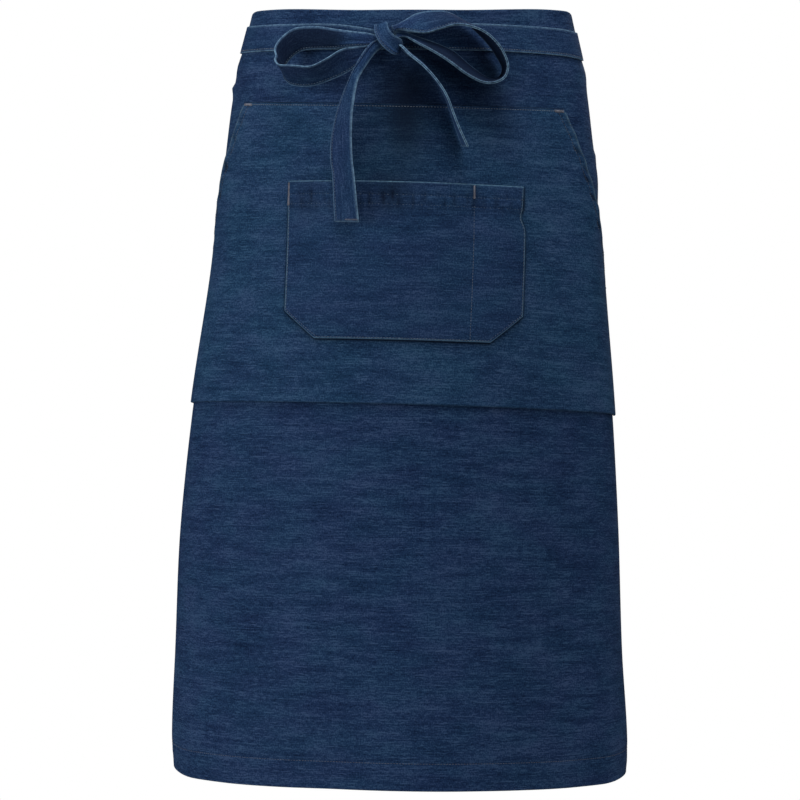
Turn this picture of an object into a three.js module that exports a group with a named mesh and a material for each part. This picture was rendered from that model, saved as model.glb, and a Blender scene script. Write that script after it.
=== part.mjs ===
// A long denim waist apron as it hangs when worn, its ties wrapped round the waist and bowed in front.
// Millimetres, +Z up. The front faces -Y, and left and right are as seen from the front.
// The origin is the centre of the waist hollow, level with the middle of the ties at the front.
import * as THREE from 'three';

const LENGTH = 720;             // skirt panel, top edge to hem at centre front
const WAIST_WIDTH = 742;        // skirt panel, flat width along its top edge
const HEM_WIDTH = 780;          // skirt panel, flat width along its hem
const CLOTH = 1.2;              // one layer of denim
const GAP = 0.6;                // air between two layers that lie on each other
const TOP_HEM = 30;             // depth of the turned top edge
const BOTTOM_HEM = 25;          // depth of the hem
const REAR_HEM = 15;            // depth of the turned rear edges
const HEM_STEP = 1.5;           // run over which a wall steps from one layer to two

const TIE_WIDTH = 25;
const TIE_THICKNESS = 2.4;      // two layers of denim
const TIE_DROP = 25.5;          // top edge to the middle of the ties at centre front

const POUCH_TOP = 88;           // top edge to the pouch's sewn upper edge
const POUCH_BOTTOM = 366;       // top edge to the pouch's folded lower edge
const POUCH_SHIFT = -9.5;       // the pouch sits a little to the left
const POUCH_TOP_HALF = 166.5;   // half the pouch's sewn upper edge
const POUCH_SIDE_HALF = 264;    // half its width where the hand openings end
const POUCH_FOLD_HALF = 284;    // half its width along the folded edge
const OPENING_END = 246;        // top edge to the lower end of the hand openings
const OPENING_BOW = 4;          // how far the slanted openings bow outwards
const OPENING_HEM = 14;         // depth of the turned edge of the openings
const POUCH_FOLD = 18;          // depth of the double cloth along the folded edge
const POUCH_LIFT = 1.5;         // how far the pouch stands off between its seams
const POUCH_LEAN = 0.012;       // the pouch's lines run down to the right
const POUCH_SEAM_RUN = 60;      // run over which it settles flat towards its side seams

const POCKET_TOP = 161.5;
const POCKET_BOTTOM = 307.5;
const POCKET_LEFT = -115.5;
const POCKET_RIGHT = 109;
const POCKET_DIVIDER = 58;      // sewn line that parts the pen slot off
const POCKET_CUT_WIDTH = 32;    // the lower corners are cut off
const POCKET_CUT_HEIGHT = 26;
const POCKET_HEM = 22;          // depth of the turned mouth
const POCKET_EDGE = 9;          // depth of the turned sides
const POCKET_BELLY = 7.5;       // how far the mouth stands open

const FRONT_SWEEP = THREE.MathUtils.degToRad(42);  // how far the front arc of a level turns
const QUARTER = Math.PI / 2;

// How finely each panel is faceted: plain rows and columns between its hems, how far the first and last of
// those rows keep from a hem, and how much of the half width those columns fill.
const SKIRT_FACETS = { rows: 15, rowMargin: 32, columns: 49, fill: 0.92 };
const POUCH_FACETS = { rows: 8, rowMargin: 18, columns: 33, fill: 0.87 };
const POCKET_FACETS = { rows: 4, rowMargin: 20, columns: 8, fill: [0.14, 0.86] };
const PEN_SLOT_FACETS = { columns: 3, fill: [0.25, 0.6] };

function table(columns, rows) {
  return rows.map((row) => Object.fromEntries(columns.map((name, i) => [name, row[i]])));
}

// The body of the apron, level by level: distance below the top edge, half breadth, sideways drift of the
// middle, front and side positions, radius of the turn to the back, and how the level climbs backwards and
// falls to the right.
const LEVELS = table(
  ['below', 'halfBreadth', 'middle', 'front', 'side', 'rearTurn', 'backRise', 'sideFall'],
  [
    [0, 153.5, 0, -111, 0, 85, 0.085, 0],
    [60, 168.5, 0, -118, 2, 100, 0.05, 0.0075],
    [130, 178, -1, -126, 4, 125, 0.012, 0.015],
    [230, 188, -3, -131, 6, 165, -0.013, 0.015],
    [365, 203, -7.5, -134, 8, 220, -0.035, 0.015],
    [480, 212, -10.5, -135, 9, 250, -0.024, 0.015],
    [600, 216, -11.5, -137, 11, 250, -0.012, 0.015],
    [720, 221, -11.5, -138, 12, 250, 0, 0.015],
  ],
);

// Soft folds of the skirt: place along the panel, width, how far they stand out, and where they begin.
const FOLDS = table(
  ['along', 'width', 'out', 'from'],
  [
    [-345, 34, 9, 330],
    [-292, 26, -5, 380],
    [-170, 40, 1.5, 420],
    [-60, 46, -1.5, 440],
    [70, 44, 1.5, 420],
    [185, 38, -1.5, 430],
    [300, 26, -5, 380],
    [350, 34, 9, 330],
  ],
);

const clamp01 = (value) => THREE.MathUtils.clamp(value, 0, 1);
function spread(from, to, count) {
  return Array.from({ length: count }, (_, i) => from + ((to - from) * i) / (count - 1));
}

// Smooth reading of one column of a table between its rows, with slopes taken from the neighbouring rows.
function read(rows, key, column, at) {
  const value = THREE.MathUtils.clamp(at, rows[0][key], rows.at(-1)[key]);
  let i = rows.findIndex((row) => row[key] >= value);
  i = Math.max(i, 1);
  const slope = (j) => {
    const before = rows[Math.max(j - 1, 0)];
    const after = rows[Math.min(j + 1, rows.length - 1)];
    return (after[column] - before[column]) / (after[key] - before[key]);
  };
  const [start, end] = [rows[i - 1], rows[i]];
  const run = end[key] - start[key];
  const t = (value - start[key]) / run;
  const rise = end[column] - start[column];
  const first = slope(i - 1) * run;
  const last = slope(i) * run;
  return start[column] + t * (first + t * (3 * rise - 2 * first - last + t * (first + last - 2 * rise)));
}

// Each level is a chain of four arcs a side: front, side, turn to the back, and back.
function sectionAt(below) {
  const level = {};
  for (const column of Object.keys(LEVELS[0])) {
    level[column] = read(LEVELS, 'below', column, below);
  }
  const [sine, cosine] = [Math.sin(FRONT_SWEEP), Math.cos(FRONT_SWEEP)];
  const depth = level.side - level.front;
  const scale = sine * cosine - (1 - sine) * (1 - cosine);
  const frontRadius = (level.halfBreadth * cosine - depth * (1 - sine)) / scale;
  const sideRadius = (sine * depth - (1 - cosine) * level.halfBreadth) / scale;
  const backRadius = (level.halfBreadth - level.rearTurn * (1 - sine)) / sine;
  level.arcs = [
    { radius: frontRadius, sweep: FRONT_SWEEP },
    { radius: sideRadius, sweep: QUARTER - FRONT_SWEEP },
    { radius: level.rearTurn, sweep: QUARTER - FRONT_SWEEP },
    { radius: backRadius, sweep: FRONT_SWEEP },
  ];
  level.halfRing = level.arcs.reduce((sum, arc) => sum + arc.radius * arc.sweep, 0);
  return level;
}

function foldOut(along, below) {
  let out = 0;
  for (const fold of FOLDS) {
    const across = (along - fold.along) / fold.width;
    const growth = clamp01((below - fold.from) / (LENGTH - fold.from));
    out += fold.out * Math.exp(-across * across) * growth * growth;
  }
  return out;
}

// The point that lies so far along the panel from centre front, so far below its top edge, and so far out
// from its outer face.
function place(along, below, out) {
  const level = sectionAt(below);
  let [x, y, heading, left] = [0, level.front, 0, Math.abs(along)];
  for (const arc of level.arcs) {
    const turn = Math.min(left / arc.radius, arc.sweep);
    x += arc.radius * (Math.sin(heading + turn) - Math.sin(heading));
    y += arc.radius * (Math.cos(heading) - Math.cos(heading + turn));
    heading += turn;
    left -= arc.radius * turn;
  }
  const stand = out + foldOut(along, below);
  const across = level.middle + (along < 0 ? -1 : 1) * (x + stand * Math.sin(heading));
  const back = y - stand * Math.cos(heading);
  const up = TIE_DROP - below + level.backRise * (back - level.front) - level.sideFall * across;
  return new THREE.Vector3(across, back, up);
}

// The same, by fraction round the waist: 0 is centre front and 1 or -1 is centre back.
function placeRound(around, below, out) {
  const fraction = Math.abs(around) > 1 ? around - 2 * Math.sign(around) : around;
  return place(fraction * sectionAt(below).halfRing, below, out);
}

// A closed solid between two grids of points that are joined round their rim.
function closedSheet(columns, rows, outer, inner) {
  const points = [];
  for (const side of [outer, inner]) {
    for (let row = 0; row <= rows; row++) {
      for (let column = 0; column <= columns; column++) {
        points.push(side(column, row));
      }
    }
  }
  const stride = columns + 1;
  const layer = stride * (rows + 1);
  const at = (column, row, side) => side * layer + row * stride + column;
  const faces = [];
  const quad = (a, b, c, d) => faces.push([a, b, c], [a, c, d]);
  for (let row = 0; row < rows; row++) {
    for (let column = 0; column < columns; column++) {
      quad(at(column, row, 0), at(column, row + 1, 0), at(column + 1, row + 1, 0), at(column + 1, row, 0));
      quad(at(column, row, 1), at(column + 1, row, 1), at(column + 1, row + 1, 1), at(column, row + 1, 1));
    }
    quad(at(0, row, 0), at(0, row, 1), at(0, row + 1, 1), at(0, row + 1, 0));
    quad(at(columns, row, 0), at(columns, row + 1, 0), at(columns, row + 1, 1), at(columns, row, 1));
  }
  for (let column = 0; column < columns; column++) {
    quad(at(column, 0, 0), at(column + 1, 0, 0), at(column + 1, 0, 1), at(column, 0, 1));
    quad(at(column, rows, 0), at(column, rows, 1), at(column + 1, rows, 1), at(column + 1, rows, 0));
  }
  const cross = new THREE.Vector3();
  const volume = faces.reduce(
    (sum, [a, b, c]) => sum + points[a].dot(cross.crossVectors(points[b], points[c])),
    0,
  );
  const outward = volume > 0 ? faces : faces.map(([a, b, c]) => [a, c, b]);
  const geometry = new THREE.BufferGeometry();
  geometry.setAttribute('position', new THREE.Float32BufferAttribute(points.flatMap((p) => p.toArray()), 3));
  geometry.setIndex(outward.flat());
  geometry.computeVertexNormals();
  return geometry;
}

// The skirt: one panel round the front and sides, its top, rear edges and hem turned to the inside.
function skirtPanel() {
  const half = (below) => THREE.MathUtils.lerp(WAIST_WIDTH, HEM_WIDTH, below / LENGTH) / 2;
  const hemLine = LENGTH - BOTTOM_HEM;
  const levels = [0, TOP_HEM / 2, TOP_HEM, TOP_HEM + HEM_STEP];
  const { rows, rowMargin, fill } = SKIRT_FACETS;
  levels.push(...spread(TOP_HEM + rowMargin, hemLine - rowMargin, rows), hemLine - HEM_STEP, hemLine, LENGTH);
  const inset = [0, REAR_HEM, REAR_HEM + HEM_STEP];
  const middles = spread(-fill, fill, SKIRT_FACETS.columns);
  const columns = inset.length * 2 + middles.length - 1;
  const alongAt = (column, below) => {
    const edge = half(below);
    if (column < inset.length) return inset[column] - edge;
    if (column > columns - inset.length) return edge - inset[columns - column];
    return middles[column - inset.length] * edge;
  };
  const layers = (column, row) => {
    const below = levels[row];
    const atRear = Math.min(column, columns - column) < inset.length - 1;
    return atRear || below <= TOP_HEM || below >= hemLine ? 2 : 1;
  };
  const at = (out) => (column, row) => {
    const below = levels[row];
    return place(alongAt(column, below), below, out(column, row));
  };
  const outer = at(() => 0);
  const inner = at((column, row) => -CLOTH * layers(column, row));
  return closedSheet(columns, levels.length - 1, outer, inner);
}

// Half the pouch's width: sewn top, slanted openings that bow a little, then the sewn sides.
function pouchHalf(below) {
  const t = (below - POUCH_TOP) / (OPENING_END - POUCH_TOP);
  if (t < 1) {
    return THREE.MathUtils.lerp(POUCH_TOP_HALF, POUCH_SIDE_HALF, t) + OPENING_BOW * Math.sin(Math.PI * t);
  }
  const side = (below - OPENING_END) / (POUCH_BOTTOM - OPENING_END);
  return THREE.MathUtils.lerp(POUCH_SIDE_HALF, POUCH_FOLD_HALF, side);
}

// How far the pouch's outer face lies from the skirt: sewn flat at its top, fold and sides, slack between.
function pouchOut(along, below) {
  const down = clamp01((below - POUCH_TOP) / (POUCH_BOTTOM - POUCH_TOP));
  const side = clamp01((POUCH_SIDE_HALF - Math.abs(along - POUCH_SHIFT)) / POUCH_SEAM_RUN);
  return GAP + 2 * CLOTH + POUCH_LIFT * Math.sin(Math.PI * down) * side;
}

// The pouch: a second panel over the upper half, open along both slanted edges.
function pouchPanel() {
  const foldLine = POUCH_BOTTOM - POUCH_FOLD;
  const hemLine = POUCH_TOP + OPENING_HEM;
  const { rows, rowMargin, fill } = POUCH_FACETS;
  const levels = [POUCH_TOP, hemLine, ...spread(hemLine + rowMargin, foldLine - rowMargin, rows)];
  levels.push(foldLine - HEM_STEP, foldLine, POUCH_BOTTOM);
  const inset = [0, OPENING_HEM, OPENING_HEM + HEM_STEP];
  const middles = spread(-fill, fill, POUCH_FACETS.columns);
  const columns = inset.length * 2 + middles.length - 1;
  const alongAt = (column, below) => {
    const edge = pouchHalf(below);
    if (column < inset.length) return POUCH_SHIFT - edge + inset[column];
    if (column > columns - inset.length) return POUCH_SHIFT + edge - inset[columns - column];
    return POUCH_SHIFT + middles[column - inset.length] * edge;
  };
  const layers = (column, row) => {
    const atSide = Math.min(column, columns - column) < inset.length - 1;
    return atSide || levels[row] >= foldLine || row === 0 ? 2 : 1;
  };
  const at = (inward) => (column, row) => {
    const below = levels[row];
    const along = alongAt(column, below);
    return place(along, below + POUCH_LEAN * along, pouchOut(along, below) - inward(column, row));
  };
  const outer = at(() => 0);
  const inner = at((column, row) => CLOTH * layers(column, row));
  return closedSheet(columns, levels.length - 1, outer, inner);
}

// The patch pocket: sewn at its sides, bottom and divider, its turned mouth standing a little open.
function patchPocket() {
  const cutLine = POCKET_BOTTOM - POCKET_CUT_HEIGHT;
  const hemLine = POCKET_TOP + POCKET_HEM;
  const firstRow = hemLine + HEM_STEP + POCKET_FACETS.rowMargin;
  const levels = [POCKET_TOP, hemLine, hemLine + HEM_STEP, ...spread(firstRow, cutLine, POCKET_FACETS.rows)];
  levels.push(POCKET_BOTTOM - POCKET_EDGE - HEM_STEP, POCKET_BOTTOM - POCKET_EDGE, POCKET_BOTTOM);
  const inset = [0, POCKET_EDGE, POCKET_EDGE + HEM_STEP];
  const mainColumns = spread(...POCKET_FACETS.fill, POCKET_FACETS.columns);
  const penColumns = spread(...PEN_SLOT_FACETS.fill, PEN_SLOT_FACETS.columns);
  const cutAt = (below) => POCKET_CUT_WIDTH * clamp01((below - cutLine) / POCKET_CUT_HEIGHT);
  const columnsAt = (below) => {
    const left = POCKET_LEFT + cutAt(below);
    const right = POCKET_RIGHT - cutAt(below);
    const main = mainColumns.map((t) => THREE.MathUtils.lerp(left, POCKET_DIVIDER, t));
    const pen = penColumns.map((t) => THREE.MathUtils.lerp(POCKET_DIVIDER, right, t));
    return [
      ...inset.map((step) => left + step), ...main, POCKET_DIVIDER, ...pen,
      ...inset.map((step) => right - step).reverse(),
    ];
  };
  const grid = levels.map(columnsAt);
  const columns = grid[0].length - 1;
  const plateau = (t) => 1 - (2 * clamp01(t) - 1) ** 4;
  const belly = (along, below) => {
    const down = (below - POCKET_TOP) / (POCKET_BOTTOM - POCKET_TOP);
    const main = (along - POCKET_LEFT) / (POCKET_DIVIDER - POCKET_LEFT);
    const pen = (along - POCKET_DIVIDER) / (POCKET_RIGHT - POCKET_DIVIDER);
    return POCKET_BELLY * (1 - down * down) * plateau(along < POCKET_DIVIDER ? main : pen);
  };
  const layers = (column, row) => {
    const atSide = Math.min(column, columns - column) < inset.length - 1;
    return atSide || levels[row] <= hemLine || levels[row] >= POCKET_BOTTOM - POCKET_EDGE ? 2 : 1;
  };
  const at = (inward) => (column, row) => {
    const below = levels[row];
    const along = grid[row][column];
    const stand = pouchOut(along, below) + GAP + 2 * CLOTH + belly(along, below);
    return place(along, below + POUCH_LEAN * along, stand - inward(column, row));
  };
  const outer = at(() => 0);
  const inner = at((column, row) => CLOTH * layers(column, row));
  return closedSheet(columns, levels.length - 1, outer, inner);
}

// Each tie starts sewn on a rear corner, crosses the back and comes round the other side to the knot.
// Columns: fraction round the waist, middle of the tie below the top edge, and its inner face's distance out.
const TIE_COLUMNS = ['around', 'below', 'out'];
const TIE_RIGHT = table(TIE_COLUMNS, [
  [-1.205, 50, 0.5],
  [-1.155, 49, 0.5],
  [-1.115, 48, 0.6],
  [-1.095, 45.5, 2.8],
  [-1.08, 43, 3.5],
  [-1.04, 37.5, 3.5],
  [-1, 31.5, 3.5],
  [-0.96, 25.5, 3.5],
  [-0.92, 20, 3.4],
  [-0.885, 16, 1.9],
  [-0.84, 14.5, 0.5],
  [-0.7, 18, 0.5],
  [-0.5, 28, 0.5],
  [-0.36, 27, 0.5],
  [-0.2, 25.5, 0.5],
  [0.049, 25.5, 0.5],
]);
const TIE_LEFT = table(TIE_COLUMNS, [
  [-1.205, 50, 0.5],
  [-1.155, 49, 0.5],
  [-1.115, 48, 0.5],
  [-1.08, 43, 0.5],
  [-1.04, 37.5, 0.5],
  [-1, 31.5, 0.5],
  [-0.96, 25.5, 0.5],
  [-0.92, 20, 0.5],
  [-0.885, 16, 0.5],
  [-0.84, 14.5, 0.5],
  [-0.7, 16.5, 0.5],
  [-0.5, 23, 0.5],
  [-0.28, 24.5, 0.5],
  [-0.051, 25.5, 0.5],
]);
const TIE_STEPS = 72;

function tie(rows, side) {
  const stops = spread(rows[0].around, rows.at(-1).around, TIE_STEPS + 1);
  const at = (thickness) => (column, row) => {
    const around = stops[row];
    const below = read(rows, 'around', 'below', around) + (column - 0.5) * TIE_WIDTH;
    return placeRound(side * around, below, read(rows, 'around', 'out', around) + thickness);
  };
  return closedSheet(1, TIE_STEPS, at(TIE_THICKNESS), at(0));
}

// The bow's strips: places of their two edges along the panel, below its top edge and out from its face.
const STRIP_COLUMNS = ['along', 'below', 'out', 'farAlong', 'farBelow', 'farOut'];
const LOOP_LEFT = table(STRIP_COLUMNS, [
  [-28, 26, 4.8, -28.5, 35, 4.8],
  [-41, 22.5, 6, -40, 35.5, 4.9],
  [-53.5, 20.5, 7, -54, 36.5, 4.9],
  [-72, 18, 8.5, -73, 38, 5],
  [-92, 15.5, 10.5, -94, 38.5, 5.3],
  [-107.5, 18, 15, -107, 40, 6.5],
  [-116, 26, 21, -112, 48, 9.5],
  [-118, 38, 27, -113, 58, 13],
  [-113, 49.5, 31.5, -110, 67, 15.5],
  [-101, 54, 34, -102.5, 73, 18],
  [-87.5, 54.5, 33, -87, 74, 17.5],
  [-75, 50, 29, -72, 70, 14.5],
  [-65, 42.5, 23, -60, 63, 11.5],
  [-53, 36.5, 15.5, -48, 55, 9.8],
  [-40, 33.5, 9.2, -38, 45, 8.4],
  [-28.5, 29.5, 7.6, -28, 38.5, 7.6],
]);
const LOOP_RIGHT = table(STRIP_COLUMNS, [
  [-16, 23.5, 4.8, -19, 15.5, 4.8],
  [-11.5, 20, 8, -14, 14.5, 4.9],
  [-1, 21.5, 17, -7, 10.5, 5],
  [11.5, 23, 21, 2.5, 4.5, 6],
  [23.5, 19.5, 23.5, 15, 2, 7.5],
  [35.5, 15.5, 26.5, 31, 3, 7],
  [47.5, 17, 28, 46, 10.5, 6],
  [60, 22.5, 29, 59, 21, 5.6],
  [70.5, 32.5, 29.5, 70.5, 32.5, 5.6],
  [77, 43, 29.5, 79.5, 44.5, 5.6],
  [80, 53.5, 29.5, 84.5, 53.5, 5.6],
  [77.5, 63.5, 29, 82.5, 61, 5.6],
  [68.5, 69, 28.5, 74.5, 64, 5.6],
  [57.5, 68.5, 28, 65, 60.5, 6],
  [44, 61, 27.5, 51.5, 51, 6.5],
  [31, 50.5, 27, 38.5, 40, 6.8],
  [18.5, 41.5, 26, 23, 32.5, 7.2],
  [5.5, 33, 20, 8, 27, 7.4],
  [-5.5, 26.5, 10, -6, 22, 7.5],
  [-15, 28, 7.3, -15.5, 21.5, 7.3],
]);
const TAIL_LEFT = table(STRIP_COLUMNS, [
  [-29, 28, 10.4, -25.5, 36, 10.4],
  [-35.5, 32, 11.2, -30.5, 40.5, 11.6],
  [-41, 39.5, 13.5, -35.5, 48, 15],
  [-46.5, 51.5, 18, -41, 60, 21.5],
  [-53, 67, 16, -44, 68, 26.5],
  [-60, 84, 12, -46.5, 85, 29.5],
  [-65.5, 100.5, 10.5, -48.5, 102, 28],
  [-69.5, 121.5, 11.5, -49, 123, 26],
  [-70, 140, 14.5, -48, 141.5, 26],
  [-67.5, 157, 17, -46, 158, 27],
  [-66.5, 178.5, 17.5, -44, 179, 26],
  [-65, 199.5, 17.5, -42, 200.5, 23],
]);
const TAIL_RIGHT = table(STRIP_COLUMNS, [
  [-13.5, 27.5, 10.4, -17, 34, 10.2],
  [-6, 31, 13, -7.5, 35.5, 9],
  [0.5, 41.5, 20, -3, 46, 7.6],
  [11, 54.5, 27, 8, 57.5, 5.5],
  [21.5, 69.5, 29.5, 20, 71.5, 5],
  [29, 83.5, 30, 29, 85, 5.5],
  [34, 98.5, 31, 34.5, 100.5, 7],
  [39, 112.5, 32, 38.5, 115, 8],
  [46.5, 130, 33, 45.5, 134, 9],
]);
const STRIP_STEPS = 3;          // steps between two rows

// A flat strip of doubled cloth ruled between its two edges, half its thickness to each side.
function bowStrip(rows) {
  const nearPoints = rows.map((r) => new THREE.Vector3(r.along, r.below, r.out));
  const farPoints = rows.map((r) => new THREE.Vector3(r.farAlong, r.farBelow, r.farOut));
  const [near, far] = [nearPoints, farPoints].map((points) => new THREE.CatmullRomCurve3(points));
  const steps = (rows.length - 1) * STRIP_STEPS;
  const edges = spread(0, 1, steps + 1).map((t) => [near, far].map((edge) => {
    const p = edge.getPoint(t);
    return place(p.x, p.y, p.z);
  }));
  const middles = edges.map(([a, b]) => a.clone().lerp(b, 0.5));
  const facing = edges.map(([a, b], i) => {
    const ahead = middles[Math.min(i + 1, steps)].clone().sub(middles[Math.max(i - 1, 0)]);
    return ahead.cross(b.clone().sub(a)).normalize();
  });
  const at = (stand) => (column, row) => edges[row][column].clone().addScaledVector(facing[row], stand);
  return closedSheet(1, steps, at(TIE_THICKNESS / 2), at(-TIE_THICKNESS / 2));
}

const KNOT = {
  along: -21, below: 27, lean: THREE.MathUtils.degToRad(29),
  halfLength: 16.5, halfWidth: 7.5, flare: -1.5, thickness: 2.8, seat: 3.4, peak: 14.7, crown: 1.5,
  squareness: 6,
};
const KNOT_FACETS = { columns: 4, rows: 12 };

// The knot: the turn of the tie that goes over the roots of the loops and tails, an arch on the ties.
function bowKnot() {
  const { columns, rows } = KNOT_FACETS;
  const at = (inward) => (column, row) => {
    const t = (2 * row) / rows - 1;
    const w = (2 * column) / columns - 1;
    const [length, width] = [t * KNOT.halfLength, w * (KNOT.halfWidth + KNOT.flare * t)];
    const along = KNOT.along + length * Math.sin(KNOT.lean) + width * Math.cos(KNOT.lean);
    const below = KNOT.below + length * Math.cos(KNOT.lean) - width * Math.sin(KNOT.lean);
    const arch = 1 - t ** KNOT.squareness;
    const stand = KNOT.seat + (KNOT.peak - KNOT.seat) * arch - KNOT.crown * w * w * arch;
    return place(along, below, stand + KNOT.thickness - inward);
  };
  return closedSheet(columns, rows, at(0), at(KNOT.thickness));
}

const denim = (color) => new THREE.MeshStandardMaterial({ color, roughness: 0.92, metalness: 0 });
const SKIRT_DENIM = 0x1c2f4a;
const POUCH_DENIM = 0x1e334f;
const TIE_DENIM = 0x223652;

const pieces = [
  ['skirt_panel', skirtPanel(), SKIRT_DENIM],
  ['pouch_panel', pouchPanel(), POUCH_DENIM],
  ['patch_pocket', patchPocket(), POUCH_DENIM],
  ['tie_left', tie(TIE_LEFT, 1), TIE_DENIM],
  ['tie_right', tie(TIE_RIGHT, -1), TIE_DENIM],
  ['bow_loop_left', bowStrip(LOOP_LEFT), TIE_DENIM],
  ['bow_loop_right', bowStrip(LOOP_RIGHT), TIE_DENIM],
  ['bow_tail_left', bowStrip(TAIL_LEFT), TIE_DENIM],
  ['bow_tail_right', bowStrip(TAIL_RIGHT), TIE_DENIM],
  ['bow_knot', bowKnot(), TIE_DENIM],
];

const apron = new THREE.Group();
for (const [name, geometry, color] of pieces) {
  const mesh = new THREE.Mesh(geometry, denim(color));
  mesh.name = name;
  apron.add(mesh);
}

export default apron;
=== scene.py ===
import bpy
import numpy as np
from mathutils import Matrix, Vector


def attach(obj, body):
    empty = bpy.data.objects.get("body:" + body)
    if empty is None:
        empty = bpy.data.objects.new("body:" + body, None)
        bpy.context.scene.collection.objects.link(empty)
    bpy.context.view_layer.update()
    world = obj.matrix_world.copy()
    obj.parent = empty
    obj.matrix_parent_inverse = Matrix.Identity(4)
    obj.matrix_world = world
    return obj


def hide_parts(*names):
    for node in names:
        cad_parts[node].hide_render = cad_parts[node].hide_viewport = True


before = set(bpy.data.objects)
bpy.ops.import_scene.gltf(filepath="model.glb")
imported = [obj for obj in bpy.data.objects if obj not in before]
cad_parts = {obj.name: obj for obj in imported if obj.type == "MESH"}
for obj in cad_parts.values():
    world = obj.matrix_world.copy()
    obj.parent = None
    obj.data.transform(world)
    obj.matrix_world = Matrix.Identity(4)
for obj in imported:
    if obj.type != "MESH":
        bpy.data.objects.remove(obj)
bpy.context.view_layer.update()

# The view
# The front is seen square on from 2.6 m away through a long lens, level with the middle of the apron.
MM = 0.001
VIEW_FROM = (-10.3 * MM, -2730 * MM, -336.4 * MM)
VIEW_REACH = 2600 * MM  # from the lens to the cloth of the front
VIEW_SPAN = 736 * MM  # how much the picture takes in there


def put(name, data):
    """An object of that data in the scene, at the origin."""
    made = bpy.data.objects.new(name, data)
    bpy.context.collection.objects.link(made)
    return made


view = bpy.data.cameras.new("front_view")
view.sensor_width = 36
view.lens = view.sensor_width * VIEW_REACH / VIEW_SPAN
camera = put("front_view", view)
camera.location = VIEW_FROM
camera.rotation_euler = (np.pi / 2, 0, 0)
bpy.context.scene.camera = camera

# Skirt panel
# One width of indigo denim that wraps front and sides and hangs open at the back. Its top, rear edges and
# hem are turned to the inside and sewn down, so the wall is two layers thick there.
LENGTH = 720
WAIST_WIDTH = 742
HEM_WIDTH = 780
CLOTH = 1.2  # one layer of denim
TOP_HEM = 30
BOTTOM_HEM = 25
REAR_HEM = 15
HEM_STEP = 1.5  # run over which a wall steps from one layer to two
HEM_SEAM = LENGTH - BOTTOM_HEM
TOP_SEAM = TOP_HEM - 2.5
REAR_SEAM = REAR_HEM - 2
HEM_ROPE = 0.28  # height of the waves that the sewn hem is drawn into
TIE_DROP = 25.5  # top edge to the middle of the ties, which is level with the origin
FRONT_SWEEP = np.radians(42)  # how far the front arc of a level turns
TOP_LIFT = 2.7  # how far the top edge stands up either side of the middle
HEM_DROP = (1.2, 1.5, 5)  # how far the hem hangs at the middle, more beside it, and lifts at the sides
SKIRT_PITCH = 5.2
SEAM_SINK = 0.45  # how deep a row of stitches draws the cloth in
SEAM_REACH = 1.6
EDGE_WEAR = 0.55

# The worn form, level by level: distance below the top edge, half breadth, sideways drift of the middle,
# front and side positions, radius of the turn to the back, climb to the back and fall to the right.
LEVEL_COLUMNS = ("below", "half_breadth", "middle", "front", "side", "rear_turn", "back_rise", "side_fall")
LEVEL_ROWS = np.array([
    [0, 154.4, 1.5, -111, 0, 85, 0.085, 0],
    [60, 168.5, 0, -118, 2, 100, 0.05, 0.0075],
    [130, 177.5, -0.5, -126, 4, 125, 0.012, 0.015],
    [230, 186.3, -2, -131, 6, 165, -0.013, 0.015],
    [365, 203, -7.5, -134, 8, 220, -0.035, 0.015],
    [480, 212, -10.5, -135, 9, 250, -0.024, 0.015],
    [600, 216.5, -11.8, -137, 11, 250, -0.012, 0.015],
    [685, 221.7, -11.4, -137.7, 11.7, 250, -0.004, 0.015],
    [720, 220.4, -11, -138, 12, 250, 0, 0.015],
])
LEVELS = dict(zip(LEVEL_COLUMNS, LEVEL_ROWS.T))

# Soft folds: place along the panel, width, how far they stand out, and where they begin.
FOLDS = [
    (-345, 34, 3.5, 330),
    (-305, 26, -5, 380),
    (-170, 40, 1.5, 420),
    (-60, 46, -1.5, 440),
    (70, 44, 1.5, 420),
    (185, 38, -1.5, 430),
    (310, 26, -5, 380),
    (350, 34, 3.5, 330),
]
# Faint waves of the cloth: length along the panel, length down it, start and height.
RIPPLES = [
    (230, 760, 0.4, 0.5),
    (141, -520, 2.1, 0.35),
    (96, 430, 4.4, 0.22),
    (67, -290, 1.3, 0.14),
]
# Small bulges of the cloth: place along the panel, below its top edge, half width, half height, and how
# far out they stand.
BULGES = [
    (-280, 48, 120, 9, 1.7),
    (280, 53, 120, 10, 2.1),
    (-227, 69, 18, 4, 2.6),
    (238, 127, 18, 3.5, 1.3),
    (240, 146, 30, 22, 2.2),
]
# Painted shadows under the bow, soft and dark, with the same columns: the last is how dark.
PAINTED_BOW_SHADOWS = [
    (8, 64, 46, 24, 0.3),
    (-5, 102, 26, 52, 0.84),
    (80, 74, 28, 44, 0.4),
    (-17, 173, 16, 18, 0.5),
    (-93, 178, 15, 20, 0.3),
]


def bell(value, middle, half):
    """A bell curve: e to the minus square of the distance from the middle over the half width."""
    return np.exp(-(((value - middle) / half) ** 2))


def bells(table, along, below):
    """Sum of a table's rows, each a bell along the panel times one down it, times its last column."""
    return sum(most * bell(along, middle, wide) * bell(below, level, tall)
               for middle, level, wide, tall, most in table)


def part(value, start, run):
    """How much of a run lies behind a value, from 0 to 1."""
    return np.clip((value - start) / run, 0, 1)


def step(value, start, run):
    """0 before start, 1 a run later, and an S curve between."""
    t = part(value, start, run)
    return t * t * (3 - 2 * t)


def half_sine(t):
    """0 at both ends of a run, 1 in the middle."""
    return np.sin(np.pi * t)


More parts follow.
